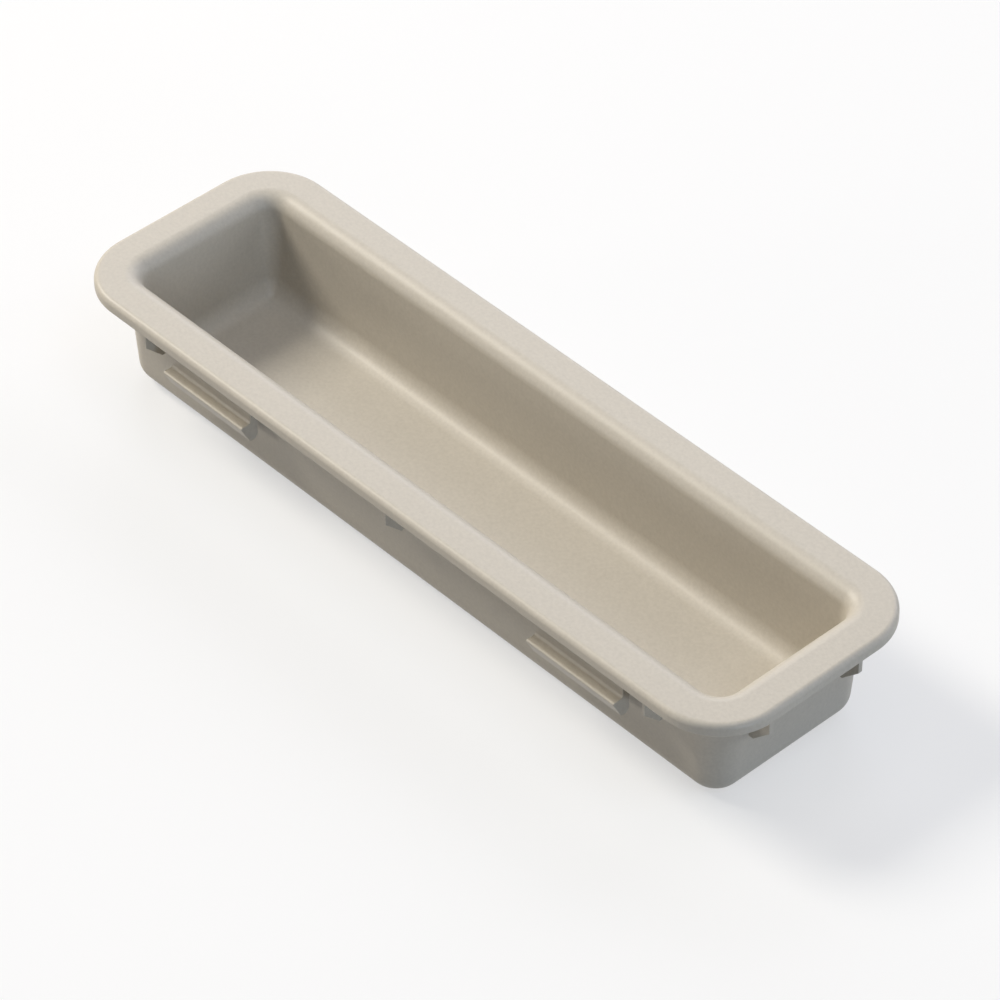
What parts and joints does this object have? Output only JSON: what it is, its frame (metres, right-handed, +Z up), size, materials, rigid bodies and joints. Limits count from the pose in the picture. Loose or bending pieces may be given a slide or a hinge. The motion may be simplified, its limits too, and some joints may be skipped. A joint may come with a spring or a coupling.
{
  "type": "recessed pull handle",
  "caption": "Long recessed pull handle in one moulding: a flat rim round a finger cup, with locating ribs and snap tongues under the rim that hold it in a cut-out of a sunroof shade.",
  "frame": {"origin": "centre of the cup's flat base, on which the handle stands", "axes": "+X along the handle, +Y across it, +Z up out of the cup's opening, square to the rim"},
  "size_m": [0.12, 0.036, 0.0174],
  "materials": {
    "pull_handle": "satin"
  },
  "bodies": {
    "root": {"pull_handle": "pull_handle"}
  },
  "joints": []
}
